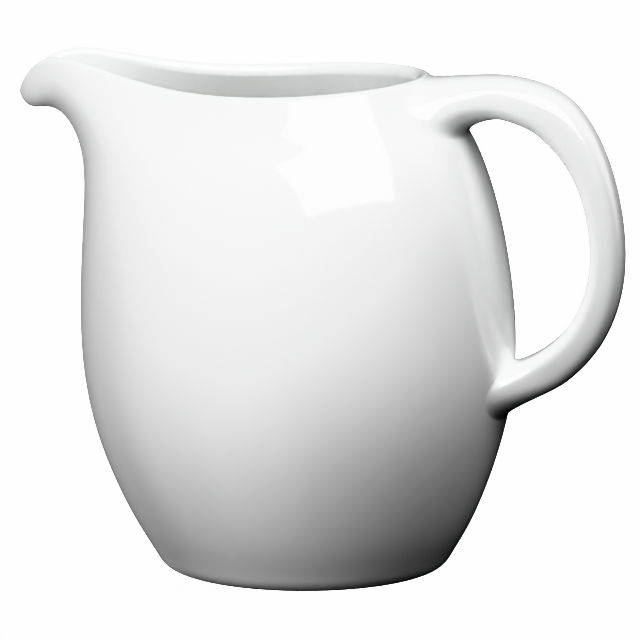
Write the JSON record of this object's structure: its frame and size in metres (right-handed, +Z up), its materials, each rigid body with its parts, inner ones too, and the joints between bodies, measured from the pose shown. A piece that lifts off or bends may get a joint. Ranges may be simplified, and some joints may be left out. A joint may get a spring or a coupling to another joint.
{
  "type": "ceramic pitcher",
  "caption": "White glazed ceramic pitcher with a round belly, a wavy rounded rim, a rolled pouring lip and a looped strap handle.",
  "frame": {"origin": "centre of the foot ring, on the table", "axes": "+Z up, the pouring lip points along -X and the handle along +X, the XZ plane is the plane of symmetry"},
  "size_m": [0.1655, 0.1166, 0.139],
  "materials": {
    "glaze_body": "glossy",
    "glaze_handle": "glossy",
    "glaze_slip": "glossy"
  },
  "bodies": {
    "root": {"body": "glaze_body", "handle": "glaze_handle", "upper_slip_joint": "glaze_slip", "lower_slip_joint": "glaze_slip"}
  },
  "joints": []
}
